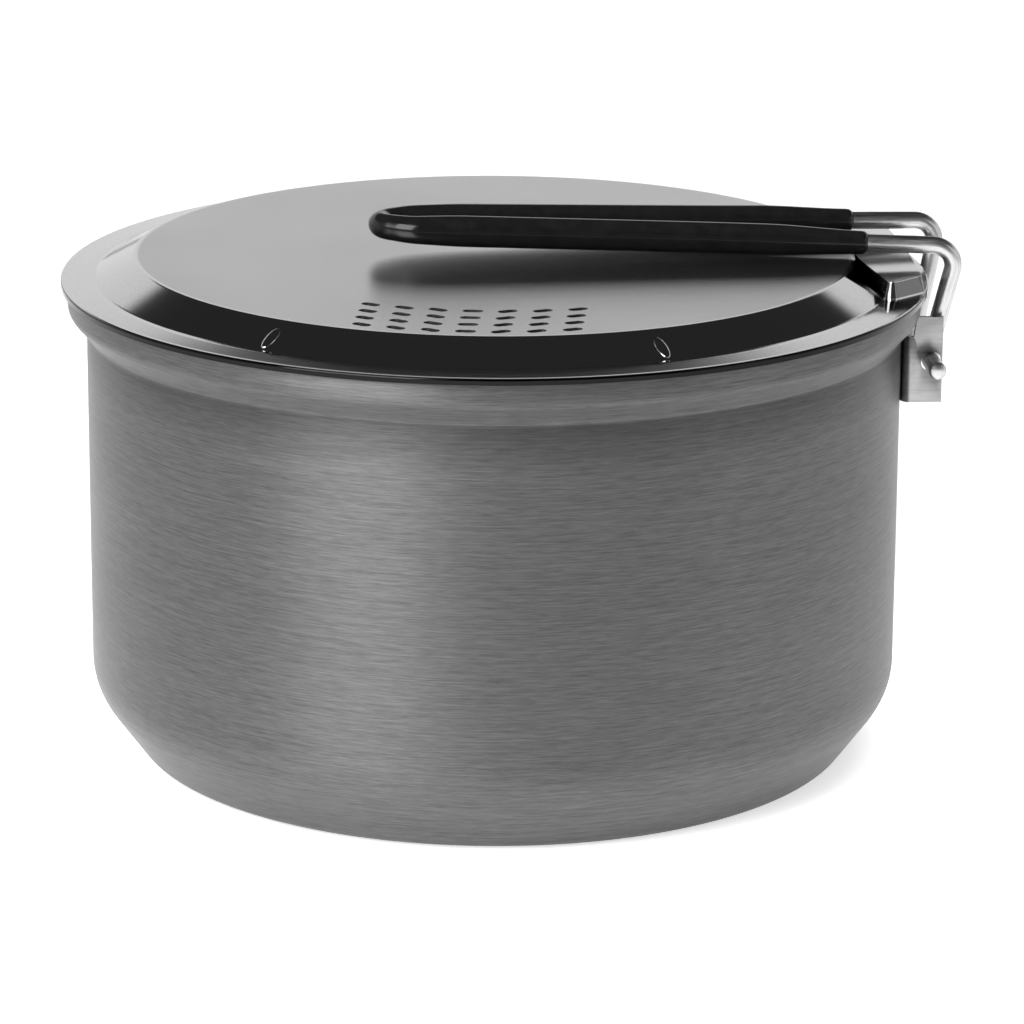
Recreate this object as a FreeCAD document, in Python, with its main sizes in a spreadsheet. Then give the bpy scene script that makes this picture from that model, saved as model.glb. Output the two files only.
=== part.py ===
"""Camping cook pot with a strainer lid and a wire handle that folds over the lid.

Frame: millimetres, +Z up, origin at the centre of the flat base.
The handle bracket is on the +X side and the strainer faces -Y.
"""
import FreeCAD
import Part

import math
import os

import Sketcher
from FreeCAD import Placement, Rotation, Vector

TOLERANCE = 0.01
PARTS_FOLDER = "parts"
SHEET_NAME = "dimensions"

# Driving dimensions in millimetres and degrees, kept in the spreadsheet under these aliases.
DIMENSIONS = {
    # pot shell, spun from sheet
    "wall_radius": 81.0,
    "wall_sheet": 1.0,
    "pot_height": 95.5,
    "cone_angle": 53.9,
    "cone_height": 13.8,
    "base_fillet": 4.65,
    "shoulder_fillet": 14.0,
    "collar_radius": 84.7,
    "collar_foot": 86.1,
    "collar_top": 90.3,
    "collar_fillet": 2.5,
    # lid, pressed from thinner sheet
    "lid_sheet": 0.5,
    "plateau_radius": 71.4,
    "plateau_rise": 4.9,
    "bevel_radius": 79.1,
    "bevel_rise": 0.9,
    "lip_radius": 86.0,
    "lip_drop": 0.7,
    "plateau_fillet": 1.2,
    "flange_fillet": 0.9,
    "lip_fillet": 0.42,
    # raised thumb boss of the lid, in a gap of the bevel under the handle
    "gap_angle": 22.2,
    "boss_rise": 3.9,
    "boss_taper": 14.0,
    "boss_root_reach": 70.9,
    "boss_corner_reach": 74.8,
    "boss_corner_half": 28.9,
    "boss_nose_reach": 82.0,
    "boss_nose_half": 22.6,
    "boss_outer_reach": 82.7,
    "boss_root_bend": 90.0,
    "boss_corner_bend": 0.9,
    "boss_nose_bend": 3.0,
    "boss_outer_bend": 70.0,
    # strainer slots
    "slot_columns": 7,
    "slot_rows": 4,
    "slot_column_pitch": 6.56,
    "slot_row_pitch": 5.34,
    "slot_first_row": 51.6,
    "slot_bow_radius": 57.0,
    "slot_length": 3.9,
    "slot_width": 2.1,
    "slot_tilt": 30.0,
    # two small stop nubs pressed into the bevel
    "nub_angle": 28.6,
    "nub_radius": 76.0,
    "nub_length": 2.9,
    "nub_width": 1.2,
    "nub_depth": 0.45,
    # how far slots and nubs are turned from the line across the handle
    "strainer_turn": -9.0,
    # handle bracket, a folded channel
    "bracket_sheet": 1.2,
    "bracket_half_width": 13.5,
    "bracket_reach": 88.2,
    "bracket_bottom": 71.4,
    "bracket_top": 88.8,
    "web_top": 84.8,
    "bracket_bend": 2.0,
    "notch_foot": 82.4,
    "notch_reach": 83.0,
    "notch_shoulder": 88.8,
    "pivot_reach": 86.0,
    "pivot_height": 79.7,
    "pivot_clearance": 0.08,
    # rivets of the bracket
    "rivet_shank": 2.0,
    "rivet_clearance": 0.02,
    "rivet_offset": 4.5,
    "rivet_height": 77.6,
    "rivet_head": 3.4,
    "rivet_head_rise": 1.3,
    # wire handle
    "wire_radius": 1.75,
    "pin_end": 21.5,
    "leg_foot": 9.0,
    "leg_top": 11.8,
    "leg_reach": 91.1,
    "top_height": 102.8,
    "tip_height": 106.1,
    "knee_reach": 44.0,
    "knee_half_width": 7.85,
    "tip_reach": -26.0,
    "shoulder_reach": -17.0,
    "shoulder_half_width": 5.1,
    "foot_bend": 3.0,
    "top_bend": 4.2,
    "knee_bend": 300.0,
    "shoulder_bend": 8.0,
    "tip_bend": 3.3,
    # dipped grip sleeve
    "grip_radius": 3.1,
    "grip_end_radius": 2.3,
    "grip_end": 73.0,
    "grip_taper": 20.0,
    "grip_clearance": 0.03,
}

doc = FreeCAD.newDocument("cook_pot")
sheet = doc.addObject("Spreadsheet::Sheet", "sizes")
for row, (alias, value) in enumerate(DIMENSIONS.items(), start=1):
    sheet.set(f"A{row}", alias)
    sheet.set(f"B{row}", str(value))
    sheet.setAlias(f"B{row}", alias)
doc.recompute()


def size(alias):
    """The value of a driving dimension."""
    return float(getattr(sheet, alias))


def bind(obj, **expressions):
    """Binds properties of obj to expressions; a double underscore in a name is a dot."""
    for path, text in expressions.items():
        obj.setExpression(path.replace("__", "."), text)
    return obj


def revolved_body(name, points):
    """A body turned about Z from a closed outline, whose points are (radius, height) expressions."""
    body = doc.addObject("PartDesign::Body", name)
    body.Label = name
    sketch = body.newObject("Sketcher::SketchObject", name + "_outline")
    plane = next(f for f in body.Origin.OriginFeatures if f.Role == "XZ_Plane")
    sketch.AttachmentSupport = [(plane, "")]
    sketch.MapMode = "FlatFace"
    spots = [
        Vector(sketch.evalExpression(across), sketch.evalExpression(up), 0)
        for across, up in points
    ]
    count = len(spots)
    for index, spot in enumerate(spots):
        sketch.addGeometry(Part.LineSegment(spot, spots[(index + 1) % count]), False)
    for index in range(count):
        following = (index + 1) % count
        sketch.addConstraint(Sketcher.Constraint("Coincident", index, 2, following, 1))
    for index, (across, up) in enumerate(points):
        for kind, distance, text in (
            ("DistanceX", spots[index].x, across),
            ("DistanceY", spots[index].y, up),
        ):
            constraint = Sketcher.Constraint(kind, -1, 1, index, 1, distance)
            number = sketch.addConstraint(constraint)
            sketch.setExpression(f"Constraints[{number}]", text)
    turned = body.newObject("PartDesign::Revolution", name + "_turned")
    turned.Profile = sketch
    turned.ReferenceAxis = (sketch, ["V_Axis"])
    turned.Angle = 360
    doc.recompute()
    return body


def circle_edges(shape, radius, height):
    """Names of the edges of shape that are circles about Z of that radius and height."""
    return [
        f"Edge{number}"
        for number, edge in enumerate(shape.Edges, start=1)
        if isinstance(edge.Curve, Part.Circle)
        and abs(edge.Curve.Radius - radius) < TOLERANCE
        and abs(edge.Curve.Center.z - height) < TOLERANCE
    ]


def round_circle(body, name, across, up, radius):
    """Fillets the body's circular edge at (across, up); all three are expressions."""
    base = body.Tip
    edges = circle_edges(
        base.Shape, body.evalExpression(across), body.evalExpression(up)
    )
    fillet = body.newObject("PartDesign::Fillet", name)
    fillet.Base = (base, edges)
    fillet.setExpression("Radius", radius)
    doc.recompute()
    return fillet


def cut(name, base, tool):
    """base without tool, as a boolean of the document."""
    result = doc.addObject("Part::Cut", name)
    result.Base = base
    result.Tool = tool
    return result


def fuse(name, *shapes):
    """The union of several objects of the document."""
    result = doc.addObject("Part::MultiFuse", name)
    result.Shapes = list(shapes)
    result.Refine = True
    return result


def feature(name, shape):
    """A plain feature that holds a shape made by code."""
    result = doc.addObject("Part::Feature", name)
    result.Shape = shape
    return result


def upright_cylinder(name, radius, bottom, top):
    """A cylinder about Z between two heights; all three are expressions."""
    cylinder = doc.addObject("Part::Cylinder", name)
    return bind(
        cylinder,
        Radius=radius,
        Height=f"({top}) - ({bottom})",
        Placement__Base__z=bottom,
    )


def block(name, low, high):
    """A box between two corners given as expressions."""
    box = doc.addObject("Part::Box", name)
    for axis, side, start, end in zip("xyz", ("Length", "Width", "Height"), low, high):
        box.setExpression(side, f"({end}) - ({start})")
        box.setExpression(f"Placement.Base.{axis}", start)
    return box


# Pot shell -----------------------------------------------------------------------------

BASE_CORNER = "sizes.wall_radius - sizes.cone_height / tan(sizes.cone_angle)"


def rivet_cylinders(name, radius, start, end):
    """Two cylinders along X where the rivets go; radius, start and end are expressions."""
    made = []
    for side, sign in (("left", "-"), ("right", "")):
        cylinder = doc.addObject("Part::Cylinder", f"{name}_{side}")
        cylinder.Placement = Placement(Vector(), Rotation(Vector(0, 1, 0), 90))
        bind(
            cylinder,
            Radius=radius,
            Height=f"({end}) - ({start})",
            Placement__Base__x=start,
            Placement__Base__y=f"{sign}sizes.rivet_offset",
            Placement__Base__z="sizes.rivet_height",
        )
        made.append(cylinder)
    return made


def make_pot_body():
    """Deep drawn shell: flat base, conical lower edge, straight wall and a flared collar."""
    blank = revolved_body(
        "pot_blank",
        [
            ("0", "0"),
            (BASE_CORNER, "0"),
            ("sizes.wall_radius", "sizes.cone_height"),
            ("sizes.wall_radius", "sizes.collar_foot"),
            ("sizes.collar_radius", "sizes.collar_top"),
            ("sizes.collar_radius", "sizes.pot_height"),
            ("0", "sizes.pot_height"),
        ],
    )
    wall = "sizes.wall_radius"
    collar = "sizes.collar_radius"
    round_circle(blank, "base_round", BASE_CORNER, "0", "sizes.base_fillet")
    round_circle(
        blank, "shoulder_round", wall, "sizes.cone_height", "sizes.shoulder_fillet"
    )
    round_circle(blank, "foot_round", wall, "sizes.collar_foot", "sizes.collar_fillet")
    round_circle(blank, "collar_round", collar, "sizes.collar_top", "sizes.collar_fillet")
    solid = blank.Tip
    mouth = max(
        enumerate(solid.Shape.Faces, start=1), key=lambda item: item[1].CenterOfMass.z
    )
    shell = blank.newObject("PartDesign::Thickness", "shell")
    shell.Base = (solid, [f"Face{mouth[0]}"])
    shell.Reversed = True
    shell.setExpression("Value", "sizes.wall_sheet")
    doc.recompute()
    holes = fuse(
        "pot_rivet_holes",
        *rivet_cylinders(
            "pot_hole",
            "sizes.rivet_shank + sizes.rivet_clearance",
            "sizes.wall_radius / 2",
            "sizes.wall_radius * 2",
        ),
    )
    return cut("pot_body", blank, holes)


# Lid -----------------------------------------------------------------------------------

FLANGE_TOP = "sizes.pot_height + sizes.lid_sheet"
BEVEL_FOOT = f"{FLANGE_TOP} + sizes.bevel_rise / 3"
PLATEAU_TOP = "sizes.pot_height + sizes.plateau_rise"


def lid_form(name, offset, bottom):
    """The lid's outer form as a solid, moved inward by offset all round; both are expressions."""
    body = revolved_body(
        name,
        [
            ("0", bottom),
            (f"sizes.lip_radius - {offset}", bottom),
            (f"sizes.lip_radius - {offset}", f"{FLANGE_TOP} - {offset}"),
            ("sizes.bevel_radius", f"{BEVEL_FOOT} - {offset}"),
            ("sizes.plateau_radius", f"{PLATEAU_TOP} - {offset}"),
            ("0", f"{PLATEAU_TOP} - {offset}"),
        ],
    )
    round_circle(
        body,
        name + "_plateau_round",
        "sizes.plateau_radius",
        f"{PLATEAU_TOP} - {offset}",
        "sizes.plateau_fillet",
    )
    round_circle(
        body,
        name + "_foot_round",
        "sizes.bevel_radius",
        f"{BEVEL_FOOT} - {offset}",
        "sizes.flange_fillet",
    )
    return body


def boss_gap(name, offset):
    """The sector cut from the bevel for the boss, grown by offset on every side."""
    angle = math.radians(size("gap_angle"))
    apex = Vector(-offset / math.sin(angle), 0, 0)
    reach = 2 * size("lip_radius")
    near = apex + Vector(reach * math.cos(angle), -reach * math.sin(angle), 0)
    far = Vector(near.x, -near.y, 0)
    floor = size("pot_height") + size("lid_sheet") - offset
    sector = Part.Face(Part.makePolygon([apex, near, far, apex]))
    sector.translate(Vector(0, 0, floor))
    wedge = sector.extrude(Vector(0, 0, 2 * size("plateau_rise")))
    core = Part.makeCylinder(size("plateau_radius") - offset, 2 * size("pot_height"))
    return feature(name, wedge.cut(core))


def boss_outline(offset):
    """The boss's top seen from above, moved inward by offset, as a closed wire."""
    side = [
        ("boss_corner_reach", "boss_corner_half", "boss_corner_bend"),
        ("boss_nose_reach", "boss_nose_half", "boss_nose_bend"),
    ]
    near = [(size(reach), -size(half), size(bend)) for reach, half, bend in side]
    far = [(reach, -half, bend) for reach, half, bend in reversed(near)]
    outer = [(size("boss_outer_reach"), 0, size("boss_outer_bend"))]
    corners = [*near, *outer, *far]
    root = Vector(size("boss_root_reach"), 0, 0)
    points = [Vector(reach, half, 0) for reach, half, bend in corners]
    radii = [bend for reach, half, bend in corners]
    # the wire starts and ends on a straight run, half way along the near inner edge
    start = (root + points[0]) / 2
    route = [start, *points, root, start]
    outline = rounded_path(route, [*radii, size("boss_root_bend")])
    return Part.Face(outline).makeOffset2D(-offset).OuterWire if offset else outline


def boss_form(name, offset, bottom):
    """The thumb boss as a solid with tapered sides, moved inward by offset; bottom is a height."""
    top = size("pot_height") + size("boss_rise") - offset
    outline = feature(name + "_outline", boss_outline(offset))
    outline.Placement = Placement(Vector(0, 0, top), Rotation())
    boss = doc.addObject("Part::Extrusion", name)
    boss.Base = outline
    boss.DirMode = "Custom"
    boss.Dir = Vector(0, 0, -1)
    boss.LengthFwd = top - bottom
    boss.setExpression("TaperAngle", "sizes.boss_taper")
    boss.Solid = True
    return boss


def slot_prism(across, along, turn):
    """One strainer slot with round ends, as a prism through the lid."""
    radius = size("slot_width") / 2
    half = size("slot_length") / 2 - radius
    low, high = Vector(-half, -radius, 0), Vector(half, -radius, 0)
    far, near = Vector(half, radius, 0), Vector(-half, radius, 0)
    outline = Part.Wire(
        [
            Part.LineSegment(low, high).toShape(),
            Part.Arc(high, Vector(half + radius, 0, 0), far).toShape(),
            Part.LineSegment(far, near).toShape(),
            Part.Arc(near, Vector(-half - radius, 0, 0), low).toShape(),
        ]
    )
    depth = size("plateau_rise")
    prism = Part.Face(outline).extrude(Vector(0, 0, 2 * depth))
    place = Vector(across, along, size("pot_height"))
    prism.Placement = Placement(place, Rotation(Vector(0, 0, 1), turn))
    return prism


def strainer_slots():
    """All slots: rows that bow towards the rim, columns that lean away from the middle one."""
    middle = int(size("slot_columns")) // 2
    prisms = []
    for column in range(-middle, middle + 1):
        across = column * size("slot_column_pitch")
        bow = across**2 / (2 * size("slot_bow_radius"))
        turn = (column > 0) - (column < 0)
        for line in range(int(size("slot_rows"))):
            reach = size("slot_first_row") + line * size("slot_row_pitch") - bow
            prisms.append(slot_prism(across, -reach, turn * size("slot_tilt")))
    slots = feature("strainer_slots", Part.makeCompound(prisms))
    slots.Placement = Placement(Vector(), Rotation(Vector(0, 0, 1), size("strainer_turn")))
    return slots


def bevel_nub(name, side):
    """A small oval nub pressed up from the bevel, long down its slope."""
    run = size("bevel_radius") - size("plateau_radius")
    drop = size("plateau_rise") - size("lid_sheet") - size("bevel_rise") / 3
    slope = math.degrees(math.atan2(drop, run))
    share = (size("nub_radius") - size("plateau_radius")) / run
    height = size("pot_height") + size("plateau_rise") - share * drop
    angle = size("strainer_turn") - 90 + side * size("nub_angle")
    turn = Rotation(Vector(0, 0, 1), angle)
    place = turn.multVec(Vector(size("nub_radius"), 0, height))
    nub = doc.addObject("Part::Ellipsoid", name)
    nub.Placement = Placement(place, turn * Rotation(Vector(0, 1, 0), slope))
    return bind(
        nub,
        Radius1="sizes.nub_depth",
        Radius2="sizes.nub_length",
        Radius3="sizes.nub_width",
    )


def make_lid():
    """Pressed lid: plateau, bevel with a gap for the boss, flange and a lip over the collar."""
    sheet_bottom = size("pot_height") + size("lid_sheet") / 2
    pressing = lid_form("lid_outer", "0", "sizes.pot_height - sizes.lip_drop")
    round_circle(pressing, "lip_round", "sizes.lip_radius", FLANGE_TOP, "sizes.lip_fillet")
    outer = fuse(
        "lid_outer_form",
        cut("lid_outer_gapped", pressing, boss_gap("gap_outer", 0)),
        boss_form("boss_outer", 0, sheet_bottom),
    )
    inner = fuse(
        "lid_inner_form",
        cut(
            "lid_inner_gapped",
            lid_form("lid_inner", "sizes.lid_sheet", "sizes.pot_height - 2 * sizes.lip_drop"),
            boss_gap("gap_inner", size("lid_sheet")),
        ),
        boss_form("boss_inner", size("lid_sheet"), size("pot_height") - size("lip_drop")),
    )
    hollow = cut("lid_hollow", outer, inner)
    pressed = fuse("lid_pressed", hollow, bevel_nub("nub_left", -1), bevel_nub("nub_right", 1))
    return cut("lid", pressed, strainer_slots())


# Handle bracket and rivets -------------------------------------------------------------


def make_handle_bracket():
    """A channel folded from sheet: a web against the wall and two ears for the handle's pins."""
    low, high = "sizes.bracket_bottom", "sizes.bracket_top"
    start = "sizes.wall_radius - 2 * sizes.bracket_sheet"
    half = "sizes.bracket_half_width"
    inner_half = "(sizes.bracket_half_width - sizes.bracket_sheet)"
    outside = block(
        "bracket_block", (start, f"-{half}", low), ("sizes.bracket_reach", half, high)
    )
    inside = block(
        "bracket_gap",
        (start, f"-{inner_half}", "sizes.bracket_bottom - 1"),
        ("sizes.bracket_reach + 1", inner_half, "sizes.bracket_top + 1"),
    )
    web_face = upright_cylinder(
        "web_face", "sizes.wall_radius + sizes.bracket_sheet", "0", "sizes.web_top"
    )
    wall_face = upright_cylinder(
        "wall_face", "sizes.wall_radius", "0", "sizes.pot_height"
    )
    split = cut("bracket_split", outside, cut("bracket_room", inside, web_face))
    channel = cut(
        "bracket_channel",
        split,
        fuse("bracket_clearance", wall_face, feature("bracket_notch", notch_prism())),
    )
    doc.recompute()
    bends = doc.addObject("Part::Fillet", "bracket_bends")
    bends.Base = channel
    radii = []
    for number, edge in enumerate(channel.Shape.Edges, start=1):
        ends = [vertex.Point for vertex in edge.Vertexes]
        if len(ends) < 2 or abs(ends[0].x - ends[1].x) > TOLERANCE:
            continue
        if abs(ends[0].z - ends[1].z) < size("bracket_sheet"):
            continue
        across = abs(ends[0].y)
        near_wall = ends[0].x < size("wall_radius") + size("bracket_sheet")
        if near_wall and abs(across - size("bracket_half_width")) < TOLERANCE:
            radii.append((number, size("bracket_bend"), size("bracket_bend")))
        elif near_wall:
            inner_bend = size("bracket_bend") - size("bracket_sheet")
            radii.append((number, inner_bend, inner_bend))
    bends.Edges = radii
    pivot = doc.addObject("Part::Cylinder", "pivot_bore")
    pivot.Placement = Placement(Vector(), Rotation(Vector(1, 0, 0), 90))
    bind(
        pivot,
        Radius="sizes.wire_radius + sizes.pivot_clearance",
        Height=f"4 * {half}",
        Placement__Base__x="sizes.pivot_reach",
        Placement__Base__y=f"2 * {half}",
        Placement__Base__z="sizes.pivot_height",
    )
    holes = rivet_cylinders(
        "bracket_hole",
        "sizes.rivet_shank + sizes.rivet_clearance",
        "sizes.wall_radius / 2",
        "sizes.bracket_reach",
    )
    return cut("handle_bracket", bends, fuse("bracket_cuts", pivot, *holes))


def notch_prism():
    """The wedge cut from both ears so that they clear the pot's collar."""
    half = size("bracket_half_width") + 1
    start = size("wall_radius") - 3 * size("bracket_sheet")
    top = size("bracket_top") + 1
    points = [
        Vector(start, -half, size("web_top")),
        Vector(size("notch_foot"), -half, size("web_top")),
        Vector(size("notch_reach"), -half, size("notch_shoulder")),
        Vector(size("notch_reach"), -half, top),
        Vector(start, -half, top),
    ]
    outline = Part.makePolygon(points + points[:1])
    return Part.Face(outline).extrude(Vector(0, 2 * half, 0))


def make_rivet(side, sign):
    """A solid rivet through wall and web, with a dome inside the pot and one in the channel."""
    inner = size("wall_radius") - size("wall_sheet")
    outer = size("wall_radius") + size("bracket_sheet")
    head, rise = size("rivet_head"), size("rivet_head_rise")
    dome_radius = (head**2 + rise**2) / (2 * rise)
    axis_start = Vector(0, sign * size("rivet_offset"), size("rivet_height"))
    along = Vector(1, 0, 0)
    inner_column = Part.makeCylinder(inner, size("pot_height"))
    outer_column = Part.makeCylinder(outer, size("pot_height"))

    def dome(face, direction):
        centre = axis_start + along * (face - direction * (dome_radius - rise))
        start = axis_start + along * (face - 2 * rise)
        stub = Part.makeCylinder(head, 4 * rise, start, along)
        return Part.makeSphere(dome_radius, centre).common(stub)

    shank = Part.makeCylinder(
        size("rivet_shank"), outer - inner + rise, axis_start + along * (inner - rise / 2), along
    )
    inside = dome(inner, -1).common(inner_column)
    outside = dome(outer, 1).cut(outer_column)
    return feature(f"rivet_{side}", shank.multiFuse([inside, outside]).removeSplitter())


# Handle --------------------------------------------------------------------------------


def rounded_path(points, radii):
    """A wire of straight runs and tangent arcs through points; radii has one value per corner."""
    edges = []
    start = points[0]
    for before, corner, after, radius in zip(points, points[1:], points[2:], radii):
        back = (before - corner).normalize()
        ahead = (after - corner).normalize()
        half_angle = back.getAngle(ahead) / 2
        reach = radius / math.tan(half_angle)
        first, last = corner + back * reach, corner + ahead * reach
        middle_line = (back + ahead).normalize()
        middle = corner + middle_line * (radius / math.sin(half_angle) - radius)
        edges.append(Part.LineSegment(start, first).toShape())
        edges.append(Part.Arc(first, middle, last).toShape())
        start = last
    edges.append(Part.LineSegment(start, points[-1]).toShape())
    return Part.Wire(edges)


def arm_point(reach, half_width):
    """A point of the near arm, which rises evenly from the top bend to the tip."""
    share = (size("leg_reach") - reach) / (size("leg_reach") - size("tip_reach"))
    height = size("top_height") + share * (size("tip_height") - size("top_height"))
    return Vector(reach, -half_width, height)


def handle_points():
    """Corners of the wire's route, from one pin's end round the tip to the other pin's end."""
    near = [
        Vector(size("pivot_reach"), -size("pin_end"), size("pivot_height")),
        Vector(size("pivot_reach"), -size("leg_foot"), size("pivot_height")),
        arm_point(size("leg_reach"), size("leg_top")),
        arm_point(size("knee_reach"), size("knee_half_width")),
        arm_point(size("shoulder_reach"), size("shoulder_half_width")),
    ]
    far = [Vector(point.x, -point.y, point.z) for point in reversed(near)]
    return [*near, arm_point(size("tip_reach"), 0), *far]


def handle_radii():
    """Bend radii at the corners of the route, the same on both sides."""
    bends = ("foot_bend", "top_bend", "knee_bend", "shoulder_bend")
    near = [size(bend) for bend in bends]
    return [*near, size("tip_bend"), *reversed(near)]


def sweep(name, path, radius):
    """A round bar of that radius (an expression) along a path."""
    start = path.Shape.Edges[0]
    circle = doc.addObject("Part::Circle", name + "_section")
    direction = start.tangentAt(start.FirstParameter)
    circle.Placement = Placement(
        start.valueAt(start.FirstParameter), Rotation(Vector(0, 0, 1), direction)
    )
    circle.setExpression("Radius", radius)
    bar = doc.addObject("Part::Sweep", name)
    bar.Sections = [circle]
    bar.Spine = (path, [f"Edge{n + 1}" for n in range(len(path.Shape.Edges))])
    bar.Solid = True
    bar.Frenet = False
    return bar


def grip_points():
    """The route's corners between the two ends of the grip."""
    points = handle_points()
    top, knee = points[2], points[3]
    end = top + (knee - top) * ((top.x - size("grip_end")) / (top.x - knee.x))
    middle = points[3:-3]
    return [end, *middle, Vector(end.x, -end.y, end.z)]


def grip_cone(name, start, along):
    """The tapered end of the sleeve, from its open end to its full thickness."""
    cone = doc.addObject("Part::Cone", name)
    cone.Placement = Placement(start, Rotation(Vector(0, 0, 1), along))
    return bind(
        cone,
        Radius1="sizes.grip_end_radius",
        Radius2="sizes.grip_radius",
        Height="sizes.grip_taper",
    )


def make_handle():
    """The bent wire and the sleeve dipped over its grip."""
    route = feature("handle_route", rounded_path(handle_points(), handle_radii()))
    wire = sweep("handle_wire", route, "sizes.wire_radius")
    ends = grip_points()
    along = [(ends[1] - ends[0]).normalize(), (ends[-2] - ends[-1]).normalize()]
    radii = handle_radii()[2:-2]
    full = [
        ends[0] + along[0] * size("grip_taper"),
        *ends[1:-1],
        ends[-1] + along[1] * size("grip_taper"),
    ]
    grip_route = feature("grip_route", rounded_path(full, radii))
    bore_route = feature("bore_route", rounded_path(ends, radii))
    outside = fuse(
        "grip_outside",
        sweep("grip_bar", grip_route, "sizes.grip_radius"),
        grip_cone("grip_cone_left", ends[0], along[0]),
        grip_cone("grip_cone_right", ends[-1], along[1]),
    )
    bore = sweep("grip_bore", bore_route, "sizes.wire_radius + sizes.grip_clearance")
    return wire, cut("grip_sleeve", outside, bore)


def check(parts):
    """Stops the script if any object failed or any sub-part isn't one valid solid."""
    for obj in doc.Objects:
        if "Invalid" in obj.State or "Error" in obj.State:
            raise RuntimeError(f"{obj.Name} failed: {obj.State}")
    for part in parts:
        shape = part.Shape
        if shape.isNull() or not shape.isValid() or len(shape.Solids) != 1:
            raise RuntimeError(f"{part.Name} is not one valid solid")


def main():
    """Builds every sub-part, checks them all, then writes one STEP file for each."""
    pot = make_pot_body()
    lid = make_lid()
    bracket = make_handle_bracket()
    rivets = [make_rivet("left", -1), make_rivet("right", 1)]
    wire, grip = make_handle()
    doc.recompute()
    parts = [pot, lid, bracket, *rivets, wire, grip]
    check(parts)
    os.makedirs(PARTS_FOLDER, exist_ok=True)
    for part in parts:
        part.Label = part.Name
        part.Shape.exportStep(f"{PARTS_FOLDER}/{part.Label}.step")
        print(f"{part.Label}: {part.Shape.Volume:.1f} cubic millimetres")


main()
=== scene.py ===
"""Camping cook pot with a strainer lid and a folding wire handle, for Blender 4.5.

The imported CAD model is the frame: metres, +Z up, the handle bracket on the +X side.
"""
import math

import bmesh
import bpy
from mathutils import Matrix, Vector


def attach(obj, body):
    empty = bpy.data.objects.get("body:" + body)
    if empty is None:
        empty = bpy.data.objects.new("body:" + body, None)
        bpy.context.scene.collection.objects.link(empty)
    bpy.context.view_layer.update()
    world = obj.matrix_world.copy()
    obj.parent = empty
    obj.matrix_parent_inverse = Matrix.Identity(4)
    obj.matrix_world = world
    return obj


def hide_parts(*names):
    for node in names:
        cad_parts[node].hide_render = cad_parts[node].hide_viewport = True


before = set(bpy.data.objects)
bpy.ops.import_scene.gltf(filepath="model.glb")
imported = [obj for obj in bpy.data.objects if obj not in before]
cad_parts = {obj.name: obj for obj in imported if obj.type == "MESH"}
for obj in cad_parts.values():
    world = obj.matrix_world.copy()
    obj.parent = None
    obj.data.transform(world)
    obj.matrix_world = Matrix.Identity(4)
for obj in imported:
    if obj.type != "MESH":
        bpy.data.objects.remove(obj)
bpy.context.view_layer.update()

MM = 0.001

# Pot shell, in millimetres
WALL_RADIUS = 81.0
WALL_SHEET = 1.0
POT_HEIGHT = 95.5
CONE_ANGLE = 53.9
CONE_HEIGHT = 13.8
BASE_FILLET = 4.65
SHOULDER_FILLET = 14.0
COLLAR_RADIUS = 84.7
COLLAR_FOOT = 86.1
COLLAR_TOP = 90.3
COLLAR_FILLET = 2.5
RIM_STEPS = 6
LATHE_SEGMENTS = 360
AXIS_TOLERANCE = 1e-6

# Lid
PLATEAU_RADIUS = 71.4
FLANGE_TOP = 96.0
FLANGE_FOOT_RADIUS = 79.1
FLANGE_LEAN = 0.038
LIP_RADIUS = 86.0
BOSS_ROOT = 70.5
BOSS_HALF_WIDTH = 29.5
BOSS_TOP = 99.4

# Handle
WIRE_RADIUS = 1.75
PIVOT_REACH = 86.0
PIVOT_HEIGHT = 79.7
PIN_END = 21.5
PIN_CHAMFER = 0.45
LEG_FOOT = 9.0
LEG_TOP = 11.8
LEG_REACH = 91.1
TOP_HEIGHT = 102.8
TIP_HEIGHT = 106.1
KNEE_REACH = 44.0
KNEE_HALF_WIDTH = 7.85
SHOULDER_REACH = -17.0
SHOULDER_HALF_WIDTH = 5.1
TIP_REACH = -26.0
BENDS = {"foot": 3.0, "top": 4.2, "knee": 300.0, "shoulder": 8.0, "tip": 3.3}
GRIP_END = 73.0
GRIP_TAPER = 20.0
GRIP_RADIUS = 3.1
GRIP_TIP_RADIUS = 2.5
GRIP_END_RADIUS = 2.35
GRIP_LIP = 1.0
GRIP_LIP_DROP = 0.5
WIRE_SPACING = 0.7
WIRE_SIDES = 40
GRIP_SPACING = 0.6
GRIP_SIDES = 48

# Bracket
EAR_FACE = 13.5
EAR_HOLE_RADIUS = 2.05
EAR_HOLE_SEGMENTS = 64
BRACKET_EDGE = 0.18
BRACKET_EDGE_ANGLE = 35
BRACKET_SMOOTH_ANGLE = 30
WELD_DISTANCE = 0.001

# Finishes: (low, high) pairs are the ends of what the noise spreads over, and a scale is how
# many noise cells a metre holds along X, Y and Z
NOISE_SPREAD = (0.3, 0.7)
FIRST_SHARE = 0.6
FINE_RELIEF = 0.02 * MM
SHELL_HAIR = (240, 240, 4300)
SHELL_STREAK = (50, 50, 2600)
SHELL_CLOUD = (14, 14, 40)
SHELL_LEVELS = (0.082, 0.170)
SHELL_ROUGHNESS = (0.42, 0.50)
SHELL_STRETCH = 0.75
QUARTER_TURN = 0.25
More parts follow.
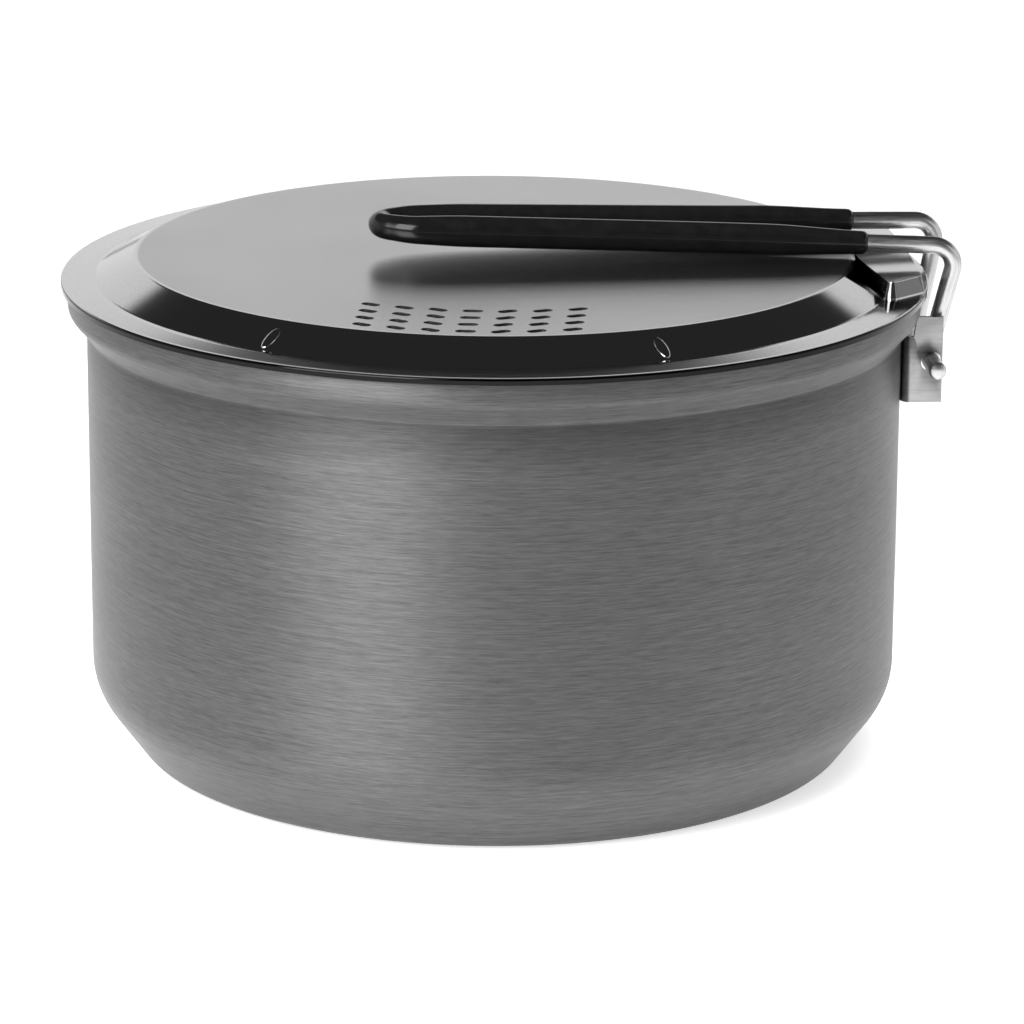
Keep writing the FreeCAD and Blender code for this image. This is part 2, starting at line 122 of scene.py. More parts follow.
# Painted shade under the collar: the height band where the shell's colour is darkened, and its level
COLLAR_PAINTED_SHADE_START = 76.0
COLLAR_PAINTED_SHADE_END = 85.2
COLLAR_PAINTED_SHADE_EDGE = (85.8, 86.1)
COLLAR_PAINTED_SHADE_LEVEL = 0.62
LID_TOOTH = (3200, 3200, 3200)
LID_CLOUD = (22, 22, 22)
LID_LEVELS = (0.46, 0.60)
LID_TOOTH_SPREAD = (0.2, 0.8)
LID_CLOUD_LEVELS = (0.94, 1.04)
LID_SATIN = (0.22, 0.30)
LID_POLISH = (0.07, 0.13)
LID_RELIEF = 0.01 * MM
SATIN_EDGE = (0.9, 0.3)
# Painted shade on the lid's lip below the flange: where it starts and its colour level
LIP_PAINTED_SHADE_EDGE = (0.12, 0.04)
LIP_PAINTED_SHADE_LEVEL = 0.03
# Painted shade on the boss's sloped walls: their colour level and the heights that bound them
BOSS_PAINTED_SHADE_LEVEL = 0.32
BOSS_FOOT_RISE = 0.35
BOSS_TOP_DROP = 0.1
LEAN_START = (1.0, 1.5)
LEAN_END = (1.1, 0.7)
STEEL_BLOTCH = (300, 300, 500)
STEEL_SPREAD = (0.32, 0.68)
STEEL_ROUGHNESS = (0.18, 0.32)
RIVET_LINES = (900, 900, 900)
RIVET_LEVELS = (0.4, 0.5)
BRACKET_LINES = (120, 120, 1600)
BRACKET_LEVELS = (0.30, 0.42)
BRACKET_ROUGHNESS = (0.28, 0.4)
WIRE_MARKS = (34.0, 90.0, 1.0)
WIRE_LEVELS = (0.44, 0.74)
WIRE_ROUGHNESS = (0.24, 0.40)
GRIP_PEEL = (350, 350, 350)
GRIP_LEVELS = (0.004, 0.009)
GRIP_ROUGHNESS = (0.12, 0.2)
GRIP_RELIEF = 0.04 * MM
GRIP_IOR = 1.36

# Camera
CAMERA_AZIMUTH = -4.47
CAMERA_ELEVATION = 15.812
CAMERA_DISTANCE = 0.9603
CAMERA_TARGET = Vector((0.0, 0.0, 0.0497))
CAMERA_LENS = 167.5
CAMERA_TURN_RIGHT = 0.003887
CAMERA_TURN_DOWN = 0.003397
CAMERA_ROLL = 0.337

# Studio, as radiance seen in reflections
BACKDROP_LEVEL = 0.88
BACKDROP_EDGE = (0.325, 0.365)
BACKDROP_REACH = (-0.5, 0.0)
ARCH_LIMIT = 0.13
ARCH_RISE = 0.86
FRONT_LEVEL = 0.12
CEILING_LEVEL = 0.03
FLOOR_GLOW = 0.6
GLOW_REACH = (0.10, 0.16)
FLOOR_LEVEL = 0.9
FLOOR_HALF_SIZE = 6.0
FLOOR_DROP = 0.2
LIGHTS = (
    {"name": "key", "azimuth": -42, "elevation": 32, "distance": 1.3, "size": (0.8, 0.9), "power": 20},
    {"name": "fill", "azimuth": 62, "elevation": 20, "distance": 1.3, "size": (0.5, 0.8), "power": 1.0},
    {"name": "overhead", "azimuth": 0, "elevation": 88, "distance": 2.0, "size": (2.5, 2.5), "power": 62},
)
GLOSSY_LIGHTS = ("key", "fill")


# Materials -----------------------------------------------------------------------------


def new_material(name):
    """An empty node material with its Principled shader."""
    material = bpy.data.materials.new(name)
    material.use_nodes = True
    shader = material.node_tree.nodes["Principled BSDF"]
    return material, material.node_tree, shader


def add_node(tree, kind, inputs=None, **settings):
    """A shader node with settings, and with constant or linked inputs by name or number."""
    node = tree.nodes.new(kind)
    for key, value in settings.items():
        setattr(node, key, value)
    for key, value in (inputs or {}).items():
        if isinstance(value, bpy.types.NodeSocket):
            tree.links.new(value, node.inputs[key])
        else:
            node.inputs[key].default_value = value
    return node


def stretched_coordinates(tree, scale):
    """Object coordinates multiplied by scale along each axis."""
    place = add_node(tree, "ShaderNodeTexCoord")
    return add_node(
        tree, "ShaderNodeMapping", {"Vector": place.outputs["Object"], "Scale": scale}
    ).outputs["Vector"]


def noise_value(tree, vector, scale, detail=2.0, roughness=0.5):
    """Fractal noise between 0 and 1 at those coordinates."""
    return add_node(
        tree,
        "ShaderNodeTexNoise",
        {"Vector": vector, "Scale": scale, "Detail": detail, "Roughness": roughness},
    ).outputs["Fac"]


def remap(tree, value, low, high, start=0.0, end=1.0):
    """A value between start and end spread from low to high, and held at both ends."""
    return add_node(
        tree,
        "ShaderNodeMapRange",
        {"Value": value, "From Min": start, "From Max": end, "To Min": low, "To Max": high},
    ).outputs["Result"]


def math_node(tree, operation, first, second=0.0):
    """One arithmetic step on one or two values."""
    return add_node(tree, "ShaderNodeMath", {0: first, 1: second}, operation=operation).outputs[0]


def axis_distance(tree):
    """Distance from the Z axis and height, both in metres, from object coordinates."""
    place = add_node(tree, "ShaderNodeTexCoord").outputs["Object"]
    split = add_node(tree, "ShaderNodeSeparateXYZ", {"Vector": place})
    flat = add_node(tree, "ShaderNodeCombineXYZ", {"X": split.outputs["X"], "Y": split.outputs["Y"]})
    length = add_node(tree, "ShaderNodeVectorMath", {0: flat.outputs[0]}, operation="LENGTH")
    return length.outputs["Value"], split.outputs["Z"]


def weighted(tree, first, second):
    """A mix of two values, mostly the first."""
    scaled = math_node(tree, "MULTIPLY", first, FIRST_SHARE)
    other = math_node(tree, "MULTIPLY", second, 1 - FIRST_SHARE)
    return math_node(tree, "ADD", scaled, other)


def grey_output(tree, level):
    """A neutral colour socket from a value."""
    return add_node(
        tree, "ShaderNodeCombineColor", {"Red": level, "Green": level, "Blue": level}
    ).outputs["Color"]


def grey(level):
    """An opaque neutral colour."""
    return (level, level, level, 1.0)


def tinted(tree, value, dark, light):
    """A colour between two colours, mixed by value."""
    mix = add_node(tree, "ShaderNodeMix", data_type="RGBA")
    tree.links.new(value, mix.inputs["Factor"])
    mix.inputs["A"].default_value = dark
    mix.inputs["B"].default_value = light
    return mix.outputs["Result"]


def bump(tree, value, strength, distance):
    """A normal from a height value."""
    return add_node(
        tree,
        "ShaderNodeBump",
        {"Height": value, "Strength": strength, "Distance": distance},
    ).outputs["Normal"]


def brushed_shell_material():
    """Dark metal brushed round the pot, with painted shade in a band under the collar."""
    material, tree, shader = new_material("anodised_shell")
    hair = noise_value(tree, stretched_coordinates(tree, SHELL_HAIR), 1.0, 3.0, 0.65)
    streak = noise_value(tree, stretched_coordinates(tree, SHELL_STREAK), 1.0, 3.0, 0.6)
    clouds = noise_value(tree, stretched_coordinates(tree, SHELL_CLOUD), 1.0, 2.0)
    mixed = weighted(tree, hair, streak)
    _, height = axis_distance(tree)
    # Painted shade: the colour is darkened in a height band below the collar's foot, with a sharp top
    # edge
    below_collar = remap(tree, height, 0.0, 1.0, COLLAR_PAINTED_SHADE_START * MM, COLLAR_PAINTED_SHADE_END * MM)
    on_collar = remap(tree, height, 0.0, 1.0, *(edge * MM for edge in COLLAR_PAINTED_SHADE_EDGE))
    collar_painted_shade_band = math_node(tree, "SUBTRACT", below_collar, on_collar)
    shade = remap(tree, collar_painted_shade_band, 1.0, COLLAR_PAINTED_SHADE_LEVEL)
    level = remap(tree, mixed, *SHELL_LEVELS, *NOISE_SPREAD)
    level = math_node(tree, "MULTIPLY", level, shade)
    tree.links.new(grey_output(tree, level), shader.inputs["Base Color"])
    tree.links.new(remap(tree, clouds, *SHELL_ROUGHNESS), shader.inputs["Roughness"])
    shader.inputs["Anisotropic"].default_value = SHELL_STRETCH
    shader.inputs["Anisotropic Rotation"].default_value = QUARTER_TURN
    grooves = add_node(tree, "ShaderNodeTangent", direction_type="RADIAL", axis="Z")
    tree.links.new(grooves.outputs["Tangent"], shader.inputs["Tangent"])
    tree.links.new(bump(tree, mixed, 0.5, FINE_RELIEF), shader.inputs["Normal"])
    shader.inputs["Metallic"].default_value = 1.0
    return material


def lid_steel_material():
    """Stainless steel: a satin plateau inside a polished rim, with painted shade that darkens the lip
    below the flange and the boss's sloped walls.
    """
    material, tree, shader = new_material("lid_steel")
    reach, height = axis_distance(tree)
    satin_edge = ((PLATEAU_RADIUS - inset) * MM for inset in SATIN_EDGE)
    satin = remap(tree, reach, 1.0, 0.0, *satin_edge)
    # Painted shade: the colour is darkened almost to black on the lip below the flange
    lip_painted_shade_edge = ((FLANGE_TOP - drop) * MM for drop in LIP_PAINTED_SHADE_EDGE)
    lip = remap(tree, height, LIP_PAINTED_SHADE_LEVEL, 1.0, *lip_painted_shade_edge)
    tooth = noise_value(tree, stretched_coordinates(tree, LID_TOOTH), 1.0, 2.0)
    clouds = noise_value(tree, stretched_coordinates(tree, LID_CLOUD), 1.0, 3.0)
    level = remap(tree, tooth, *LID_LEVELS, *LID_TOOTH_SPREAD)
    level = math_node(tree, "MULTIPLY", level, remap(tree, clouds, *LID_CLOUD_LEVELS))
    level = math_node(tree, "MULTIPLY", level, lip)
    # Painted shade: the colour is darkened on the boss's sloped walls
    level = math_node(tree, "MULTIPLY", level, boss_painted_shade(tree, height))
    tree.links.new(grey_output(tree, level), shader.inputs["Base Color"])
    rough = remap(tree, clouds, *LID_SATIN)
    polished = remap(tree, clouds, *LID_POLISH)
    mix = add_node(tree, "ShaderNodeMix", {"Factor": satin}, data_type="FLOAT")
    tree.links.new(polished, mix.inputs["A"])
    tree.links.new(rough, mix.inputs["B"])
    tree.links.new(mix.outputs["Result"], shader.inputs["Roughness"])
    grain = math_node(tree, "MULTIPLY", tooth, satin)
    grained = bump(tree, grain, 0.25, LID_RELIEF)
    tree.links.new(leaned_normal(tree, grained, reach), shader.inputs["Normal"])
    shader.inputs["Metallic"].default_value = 1.0
    return material


def boss_painted_shade(tree, height):
    """Painted shade: a factor below one on the sloped walls of the lid's boss and of its gap, and one
    elsewhere.
    """
    place = add_node(tree, "ShaderNodeTexCoord").outputs["Object"]
    split = add_node(tree, "ShaderNodeSeparateXYZ", {"Vector": place})
    beyond = math_node(tree, "GREATER_THAN", split.outputs["X"], BOSS_ROOT * MM)
    side = math_node(tree, "ABSOLUTE", split.outputs["Y"])
    within = math_node(tree, "LESS_THAN", side, BOSS_HALF_WIDTH * MM)
    above = math_node(tree, "GREATER_THAN", height, (FLANGE_TOP + BOSS_FOOT_RISE) * MM)
    below = math_node(tree, "LESS_THAN", height, (BOSS_TOP - BOSS_TOP_DROP) * MM)
    zone = math_node(tree, "MULTIPLY", beyond, within)
    zone = math_node(tree, "MULTIPLY", zone, math_node(tree, "MULTIPLY", above, below))
    return remap(tree, zone, 1.0, BOSS_PAINTED_SHADE_LEVEL)


def leaned_normal(tree, normal, reach):
    """A normal that leans outward on the flange, between its foot and its edge."""
    start = ((FLANGE_FOOT_RADIUS + outset) * MM for outset in LEAN_START)
    end = ((LIP_RADIUS - inset) * MM for inset in LEAN_END)
    inside = remap(tree, reach, 0.0, FLANGE_LEAN, *start)
    outside = remap(tree, reach, 1.0, 0.0, *end)
    place = add_node(tree, "ShaderNodeTexCoord").outputs["Object"]
    flat = add_node(tree, "ShaderNodeVectorMath", {0: place, 1: (1, 1, 0)}, operation="MULTIPLY")
    out = add_node(tree, "ShaderNodeVectorMath", {0: flat.outputs[0]}, operation="NORMALIZE")
    world = add_node(
        tree,
        "ShaderNodeVectorTransform",
        {"Vector": out.outputs[0]},
        vector_type="VECTOR",
        convert_from="OBJECT",
        convert_to="WORLD",
    )
    lean = math_node(tree, "MULTIPLY", inside, outside)
    push = add_node(
        tree,
        "ShaderNodeVectorMath",
        {0: world.outputs[0], "Scale": lean},
        operation="SCALE",
    )
    return add_node(
        tree, "ShaderNodeVectorMath", {0: normal, 1: push.outputs[0]}, operation="ADD"
    ).outputs[0]


def plain_steel_material(name, levels, scale, rough):
    """Bright steel with polishing lines along one axis."""
    material, tree, shader = new_material(name)
    lines = noise_value(tree, stretched_coordinates(tree, scale), 1.0, 3.0, 0.6)
    blotch = noise_value(tree, stretched_coordinates(tree, STEEL_BLOTCH), 1.0, 2.0)
    mixed = weighted(tree, lines, blotch)
    colour = tinted(tree, remap(tree, mixed, 0.0, 1.0, *STEEL_SPREAD), *map(grey, levels))
    tree.links.new(colour, shader.inputs["Base Color"])
    tree.links.new(remap(tree, mixed, *rough, *NOISE_SPREAD), shader.inputs["Roughness"])
    tree.links.new(bump(tree, lines, 0.3, FINE_RELIEF), shader.inputs["Normal"])
    shader.inputs["Metallic"].default_value = 1.0
    return material


def wire_steel_material():
    """Drawn stainless wire with faint marks along its length, from the tube's own coordinates."""
    material, tree, shader = new_material("wire_steel")
    place = add_node(tree, "ShaderNodeUVMap", uv_map="along")
    spread = add_node(
        tree, "ShaderNodeMapping", {"Vector": place.outputs["UV"], "Scale": WIRE_MARKS}
    ).outputs["Vector"]
    lines = noise_value(tree, spread, 1.0, 3.0, 0.6)
    colour = tinted(tree, remap(tree, lines, 0.0, 1.0, *NOISE_SPREAD), *map(grey, WIRE_LEVELS))
    tree.links.new(colour, shader.inputs["Base Color"])
    tree.links.new(remap(tree, lines, *WIRE_ROUGHNESS, *NOISE_SPREAD), shader.inputs["Roughness"])
    tree.links.new(bump(tree, lines, 0.3, FINE_RELIEF), shader.inputs["Normal"])
    shader.inputs["Metallic"].default_value = 1.0
    return material


def grip_material():
    """Glossy black dipped coating with a faint orange peel."""
    material, tree, shader = new_material("grip_coating")
    peel = noise_value(tree, stretched_coordinates(tree, GRIP_PEEL), 1.0, 2.0)
    tree.links.new(remap(tree, peel, *GRIP_ROUGHNESS, *NOISE_SPREAD), shader.inputs["Roughness"])
    tree.links.new(tinted(tree, peel, *map(grey, GRIP_LEVELS)), shader.inputs["Base Color"])
    tree.links.new(bump(tree, peel, 0.06, GRIP_RELIEF), shader.inputs["Normal"])
    shader.inputs["IOR"].default_value = GRIP_IOR
    return material


# Shapes --------------------------------------------------------------------------------


def rounded_outline(corners, steps=10):
    """Points of an open outline whose corners (across, up, radius) are rounded with arcs."""
    points = [Vector(corners[0][:2])]
    for before, corner, after in zip(corners, corners[1:], corners[2:]):
        middle, radius = Vector(corner[:2]), corner[2]
        back = (Vector(before[:2]) - middle).normalized()
        ahead = (Vector(after[:2]) - middle).normalized()
        half_angle = back.angle(ahead) / 2
        centre = middle + (back + ahead).normalized() * (radius / math.sin(half_angle))
        reach = radius / math.tan(half_angle)
        first = middle + back * reach - centre
        last = middle + ahead * reach - centre
        turn = first.angle_signed(last)
        for step in range(steps + 1):
            spot = first.copy()
            spot.rotate(Matrix.Rotation(-turn * step / steps, 2))
            points.append(centre + spot)
    points.append(Vector(corners[-1][:2]))
    return points


def mesh_object(name, built, body, material):
    """A smooth shaded object from a bmesh, which rides on a body."""
    bmesh.ops.recalc_face_normals(built, faces=built.faces)
    for face in built.faces:
        face.smooth = True
    mesh = bpy.data.meshes.new(name)
    built.to_mesh(mesh)
    built.free()
    made = bpy.data.objects.new(name, mesh)
    bpy.context.scene.collection.objects.link(made)
    made.data.materials.append(material)
    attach(made, body)
    return made


def lathe(outline):
    """A bmesh turned about Z from a closed outline in millimetres; points on the axis are shared."""
    built = bmesh.new()
    rings = []
    for point in outline:
        if point.x < AXIS_TOLERANCE:
            rings.append([built.verts.new((0, 0, point.y * MM))])
            continue
        ring = []
        for index in range(LATHE_SEGMENTS):
            angle = math.tau * index / LATHE_SEGMENTS
            spot = (point.x * math.cos(angle), point.x * math.sin(angle), point.y)
            ring.append(built.verts.new(Vector(spot) * MM))
        rings.append(ring)
    for lower, upper in zip(rings, rings[1:] + rings[:1]):
        if len(lower) == 1 and len(upper) == 1:
            continue
        for index in range(LATHE_SEGMENTS):
            following = (index + 1) % LATHE_SEGMENTS
            corners = [
                lower[index % len(lower)],
                lower[following % len(lower)],
                upper[following % len(upper)],
                upper[index % len(upper)],
            ]
            unique = list(dict.fromkeys(corners))
            built.faces.new(unique)
    return built


def pot_outline(offset):
    """The pot's section, moved inward by offset, from the axis to the rim."""
    half_turn = math.radians(CONE_ANGLE / 2)
    flare = math.atan2(COLLAR_RADIUS - WALL_RADIUS, COLLAR_TOP - COLLAR_FOOT)
    base = WALL_RADIUS - CONE_HEIGHT / math.tan(math.radians(CONE_ANGLE))
    wall = WALL_RADIUS - offset
    shoulder_drop = math.tan(math.radians(90 - CONE_ANGLE) / 2) * offset
    collar_shift = math.tan(flare / 2) * offset
    corners = [
        (0, offset, 0),
        (base - offset * math.tan(half_turn), offset, BASE_FILLET - offset),
        (wall, CONE_HEIGHT + shoulder_drop, SHOULDER_FILLET - offset),
        (wall, COLLAR_FOOT + collar_shift, COLLAR_FILLET + offset),
        (COLLAR_RADIUS - offset, COLLAR_TOP + collar_shift, COLLAR_FILLET - offset),
        (COLLAR_RADIUS - offset, POT_HEIGHT - WALL_SHEET / 2, 0),
    ]
    return rounded_outline(corners)


def make_pot():
    """The drawn shell, with a rounded rim."""
    outer = pot_outline(0.0)
    inner = pot_outline(WALL_SHEET)
    rim_radius = WALL_SHEET / 2
    rim = [
        Vector((COLLAR_RADIUS - rim_radius, POT_HEIGHT - rim_radius))
        + rim_radius * Vector((math.cos(angle), math.sin(angle)))
        for angle in (math.pi * step / RIM_STEPS for step in range(RIM_STEPS + 1))
    ]
    outline = outer[:-1] + rim + list(reversed(inner[:-1]))
    shell = mesh_object(
        "pot_shell", lathe(outline), "pot", brushed_shell_material()
    )
    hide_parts("pot_body")


def arm_point(reach, half_width):
    """A corner of the near arm, which rises evenly from the top bend to the tip."""
    share = (LEG_REACH - reach) / (LEG_REACH - TIP_REACH)
    return Vector((reach, -half_width, TOP_HEIGHT + share * (TIP_HEIGHT - TOP_HEIGHT)))


def handle_corners():
    """Corners of the wire's route with their bend radii, from the near pin round to the far one."""
    near = [
        (Vector((PIVOT_REACH, -PIN_END, PIVOT_HEIGHT)), 0),
        (Vector((PIVOT_REACH, -LEG_FOOT, PIVOT_HEIGHT)), BENDS["foot"]),
        (arm_point(LEG_REACH, LEG_TOP), BENDS["top"]),
        (arm_point(KNEE_REACH, KNEE_HALF_WIDTH), BENDS["knee"]),
        (arm_point(SHOULDER_REACH, SHOULDER_HALF_WIDTH), BENDS["shoulder"]),
    ]
    far = [(Vector((spot.x, -spot.y, spot.z)), bend) for spot, bend in reversed(near)]
    return [*near, (arm_point(TIP_REACH, 0), BENDS["tip"]), *far]


def rounded_route(corners, spacing):
    """Points along a route of straight runs and arcs, no further apart than spacing."""
    points = [corners[0][0]]
    for (before, _), (corner, radius), (after, _) in zip(corners, corners[1:], corners[2:]):
        back, ahead = (before - corner).normalized(), (after - corner).normalized()
        half_angle = back.angle(ahead) / 2
        centre = corner + (back + ahead).normalized() * (radius / math.sin(half_angle))
        first = (corner + back * (radius / math.tan(half_angle)) - centre).normalized()
        last = (corner + ahead * (radius / math.tan(half_angle)) - centre).normalized()
        steps = max(2, math.ceil(radius * first.angle(last) / spacing))
        shares = [step / steps for step in range(steps + 1)]
        arc = [centre + first.slerp(last, share) * radius for share in shares]
        points += straight_run(points[-1], arc[0], spacing)[1:-1] + arc
    return points + straight_run(points[-1], corners[-1][0], spacing)[1:]


def straight_run(start, end, spacing):
    """Evenly spaced points from start to end, both included."""
    steps = max(1, math.ceil((end - start).length / spacing))
    return [start.lerp(end, step / steps) for step in range(steps + 1)]


def tube(points, radius_at, sides):
    """A closed round bar along points in millimetres; radius_at takes the distance from the start."""
    built = bmesh.new()
    layer = built.loops.layers.uv.new("along")
    lengths = [0.0]
    for before, after in zip(points, points[1:]):
        lengths.append(lengths[-1] + (after - before).length)
    across = Vector((0, 0, -1)).cross(points[1] - points[0])
    rings = []
    for index, spot in enumerate(points):
        along = (points[min(index + 1, len(points) - 1)] - points[max(index - 1, 0)]).normalized()
        across = (across - along * across.dot(along)).normalized()
        other = along.cross(across)
        radius = radius_at(lengths[index])
        ring = []
        for side in range(sides):
            turn = math.tau * side / sides
            offset = (across * math.cos(turn) + other * math.sin(turn)) * radius
            ring.append(built.verts.new((spot + offset) * MM))
        rings.append(ring)
    for row, (lower, upper) in enumerate(zip(rings, rings[1:])):
        for side in range(sides):
            after = (side + 1) % sides
            face = built.faces.new((lower[side], lower[after], upper[after], upper[side]))
            shares = (side / sides, (side + 1) / sides, (side + 1) / sides, side / sides)
            spots = (lengths[row], lengths[row], lengths[row + 1], lengths[row + 1])
            for loop, share, length in zip(face.loops, shares, spots):
                loop[layer].uv = (share, length * MM)
    built.faces.new(list(reversed(rings[0])))
    built.faces.new(rings[-1])
    return built


def eased(share):
    """A share held between 0 and 1 and eased at both ends."""
    held = min(1.0, max(0.0, share))
    return held * held * (3 - 2 * held)


def make_wire():
    """The bent wire, with a chamfer at both pin ends."""
    points = rounded_route(handle_corners(), WIRE_SPACING)
    near_end, far_end = points[0], points[-1]
    inward = Vector((0, 1, 0))
    points[0:1] = [near_end, near_end + inward * PIN_CHAMFER]
    points[-1:] = [far_end - inward * PIN_CHAMFER, far_end]
    total = sum((after - before).length for before, after in zip(points, points[1:]))

    def radius_at(length):
        edge = min(length, total - length)
        return WIRE_RADIUS - max(0.0, PIN_CHAMFER - edge)

    built = tube(points, radius_at, WIRE_SIDES)
    wire = mesh_object("wire", built, "handle", wire_steel_material())
    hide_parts("handle_wire")


def make_grip():
    """The dipped sleeve: thinner towards its open ends and at the tip, with soft end lips."""
    corners = handle_corners()[2:-2]
    top, knee = corners[0][0], corners[1][0]
    end = top + (knee - top) * ((top.x - GRIP_END) / (top.x - knee.x))
    ends = [(end, 0), *corners[1:-1], (Vector((end.x, -end.y, end.z)), 0)]
    points = rounded_route(ends, GRIP_SPACING)
    total = sum((after - before).length for before, after in zip(points, points[1:]))

    def radius_at(length):
        edge = min(length, total - length)
        to_tip = abs(length - total / 2)
        body = GRIP_TIP_RADIUS + (GRIP_RADIUS - GRIP_TIP_RADIUS) * eased(to_tip / GRIP_TAPER)
        body -= (body - GRIP_END_RADIUS) * (1 - eased(edge / GRIP_TAPER))
        lip = max(0.0, GRIP_LIP - edge)
        return body - GRIP_LIP_DROP * lip * lip

    built = tube(points, radius_at, GRIP_SIDES)
    grip = mesh_object("grip", built, "handle", grip_material())
    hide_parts("grip_sleeve")


def make_bracket():
    """The folded bracket, with softened edges and holes wider than the wire."""
    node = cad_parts["handle_bracket"]
    rough = bpy.data.objects.new("bracket_blank", node.data.copy())
    bpy.context.scene.collection.objects.link(rough)
    cutter_mesh = bmesh.new()
    bmesh.ops.create_cone(
        cutter_mesh,
        cap_ends=True,
        segments=EAR_HOLE_SEGMENTS,
        radius1=EAR_HOLE_RADIUS * MM,
        radius2=EAR_HOLE_RADIUS * MM,
        depth=4 * EAR_FACE * MM,
        matrix=Matrix.Translation(Vector((PIVOT_REACH, 0, PIVOT_HEIGHT)) * MM)
        @ Matrix.Rotation(math.radians(90), 4, "X"),
    )
    mesh = bpy.data.meshes.new("hole_cutter")
    cutter_mesh.to_mesh(mesh)
    cutter_mesh.free()
    cutter = bpy.data.objects.new("hole_cutter", mesh)
    bpy.context.scene.collection.objects.link(cutter)
    weld = rough.modifiers.new("weld", "WELD")
    weld.merge_threshold = WELD_DISTANCE * MM
    holes = rough.modifiers.new("holes", "BOOLEAN")
    holes.object = cutter
    holes.operation = "DIFFERENCE"
    soft = rough.modifiers.new("soft_edges", "BEVEL")
    soft.width = BRACKET_EDGE * MM
    soft.segments = 2
    soft.limit_method = "ANGLE"
    soft.angle_limit = math.radians(BRACKET_EDGE_ANGLE)
    bpy.context.view_layer.update()
    evaluated = rough.evaluated_get(bpy.context.evaluated_depsgraph_get())
    built = bmesh.new()
    built.from_mesh(evaluated.to_mesh())
    evaluated.to_mesh_clear()
    bpy.data.objects.remove(rough)
    bpy.data.objects.remove(cutter)
    material = plain_steel_material(
        "bracket_steel", BRACKET_LEVELS, BRACKET_LINES, BRACKET_ROUGHNESS
    )
    bracket = mesh_object("bracket", built, "pot", material)
    bracket.data.set_sharp_from_angle(angle=math.radians(BRACKET_SMOOTH_ANGLE))
    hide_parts("handle_bracket")


def finish_cad_nodes():
    """Materials for the CAD nodes that stay."""
    rivet = plain_steel_material("rivet_metal", RIVET_LEVELS, RIVET_LINES, STEEL_ROUGHNESS)
    looks = {"lid": lid_steel_material(), "rivet_left": rivet, "rivet_right": rivet}
    for name, material in looks.items():
        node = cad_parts[name]
        node.data.materials.clear()
        node.data.materials.append(material)


# Studio --------------------------------------------------------------------------------


def add_camera():
    """The camera of the hero view."""
    azimuth, elevation = math.radians(CAMERA_AZIMUTH), math.radians(CAMERA_ELEVATION)
    back = Vector(
        (
            math.sin(azimuth) * math.cos(elevation),
            -math.cos(azimuth) * math.cos(elevation),
            math.sin(elevation),
        )
    )
    right = Vector((0, 0, 1)).cross(back).normalized()
    up = back.cross(right)
    aim = (-back + right * CAMERA_TURN_RIGHT - up * CAMERA_TURN_DOWN).normalized()
    side = aim.cross(Vector((0, 0, 1))).normalized()
    top = side.cross(aim)
    pose = Matrix((side, top, -aim)).transposed().to_4x4()
    roll = Matrix.Rotation(math.radians(CAMERA_ROLL), 4, "Z")
    data = bpy.data.cameras.new("camera")
    data.lens = CAMERA_LENS
    data.clip_start = 0.01
    camera = bpy.data.objects.new("camera", data)
    camera.matrix_world = Matrix.Translation(CAMERA_TARGET + back * CAMERA_DISTANCE) @ pose @ roll
    bpy.context.scene.collection.objects.link(camera)
    bpy.context.scene.camera = camera


def add_area(name, azimuth, elevation, distance, size, power):
    """A soft light that faces the object from a direction, in degrees and metres."""
    turn, lift = math.radians(azimuth), math.radians(elevation)
    back = Vector(
        (math.sin(turn) * math.cos(lift), -math.cos(turn) * math.cos(lift), math.sin(lift))
    )
    data = bpy.data.lights.new(name, "AREA")
    data.shape = "RECTANGLE"
    data.size, data.size_y = size
    data.energy = power
    light = bpy.data.objects.new(name, data)
    light.location = CAMERA_TARGET + back * distance
    light.rotation_mode = "QUATERNION"
    light.rotation_quaternion = (-back).to_track_quat("-Z", "Y")
    light.visible_glossy = name in GLOSSY_LIGHTS
    bpy.context.scene.collection.objects.link(light)


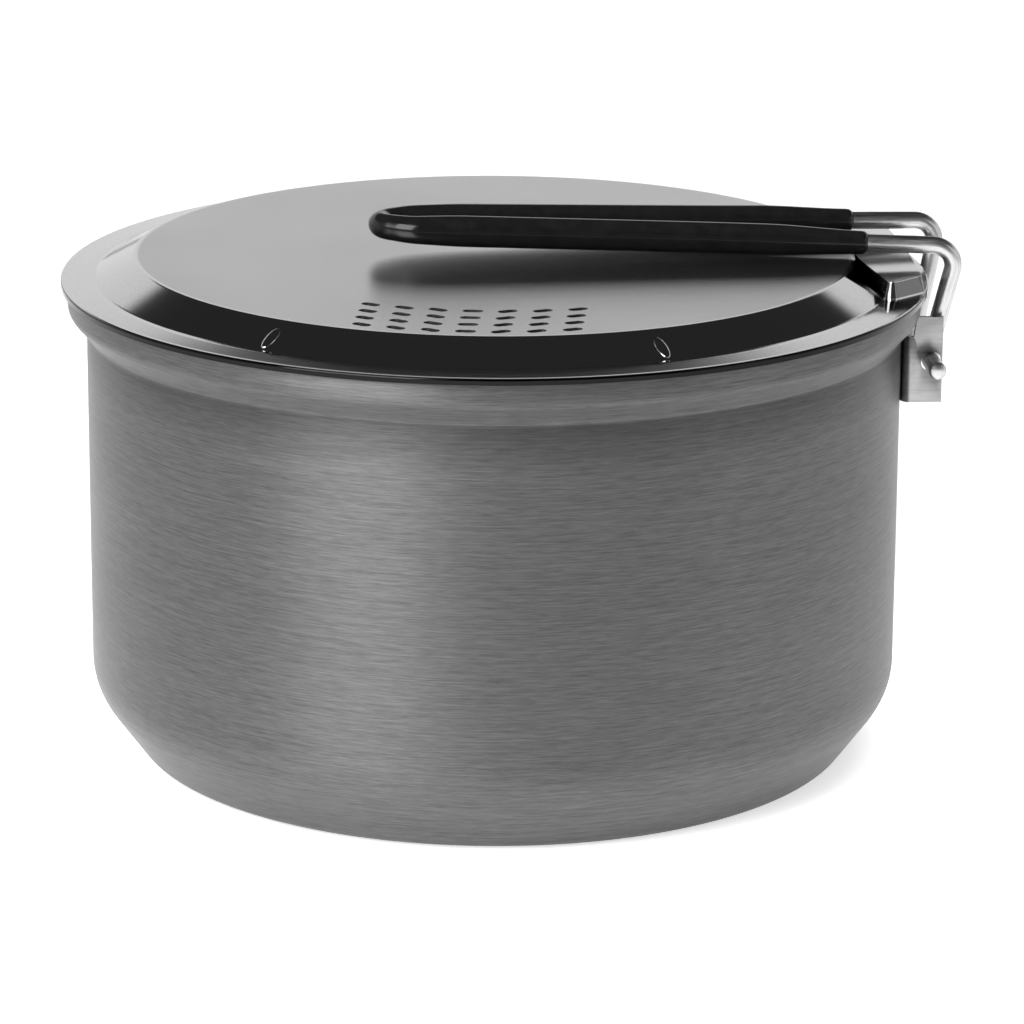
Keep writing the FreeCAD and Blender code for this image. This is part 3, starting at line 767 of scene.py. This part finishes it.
def add_floor():
    """A plain pale floor, which glows round the pot to keep its shadow faint."""
    built = bmesh.new()
    bmesh.ops.create_grid(built, x_segments=1, y_segments=1, size=FLOOR_HALF_SIZE)
    mesh = bpy.data.meshes.new("floor")
    built.to_mesh(mesh)
    built.free()
    floor = bpy.data.objects.new("floor", mesh)
    material, tree, shader = new_material("floor_paper")
    shader.inputs["Base Color"].default_value = grey(FLOOR_LEVEL)
    shader.inputs["Roughness"].default_value = 0.9
    shader.inputs["Specular IOR Level"].default_value = 0.0
    shader.inputs["Emission Color"].default_value = grey(1.0)
    reach, _ = axis_distance(tree)
    glow = remap(tree, reach, FLOOR_GLOW, 0.0, *GLOW_REACH)
    tree.links.new(glow, shader.inputs["Emission Strength"])
    mesh.materials.append(material)
    bpy.context.scene.collection.objects.link(floor)
    floor.location.z = -FLOOR_DROP * MM


def add_sky():
    """A studio around the object: a pale low backdrop, dark above it and behind the camera."""
    world = bpy.data.worlds.new("studio")
    bpy.context.scene.world = world
    world.use_nodes = True
    tree = world.node_tree
    background = tree.nodes["Background"]
    place = add_node(tree, "ShaderNodeTexCoord")
    split = add_node(tree, "ShaderNodeSeparateXYZ", {"Vector": place.outputs["Generated"]})
    across = math_node(tree, "MULTIPLY", split.outputs["X"], split.outputs["X"])
    held = math_node(tree, "MINIMUM", across, ARCH_LIMIT)
    arch = math_node(tree, "MULTIPLY", held, ARCH_RISE)
    height = math_node(tree, "SUBTRACT", split.outputs["Z"], arch)
    low = remap(tree, height, 1.0, 0.0, *BACKDROP_EDGE)
    behind = remap(tree, split.outputs["Y"], FRONT_LEVEL, BACKDROP_LEVEL, *BACKDROP_REACH)
    level = math_node(tree, "ADD", math_node(tree, "MULTIPLY", low, behind), CEILING_LEVEL)
    background.inputs["Color"].default_value = grey(1.0)
    tree.links.new(level, background.inputs["Strength"])


def main():
    """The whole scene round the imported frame."""
    bpy.context.scene.view_settings.view_transform = "Standard"
    add_camera()
    make_pot()
    make_wire()
    make_grip()
    make_bracket()
    finish_cad_nodes()
    add_floor()
    add_sky()
    for light in LIGHTS:
        add_area(**light)


main()
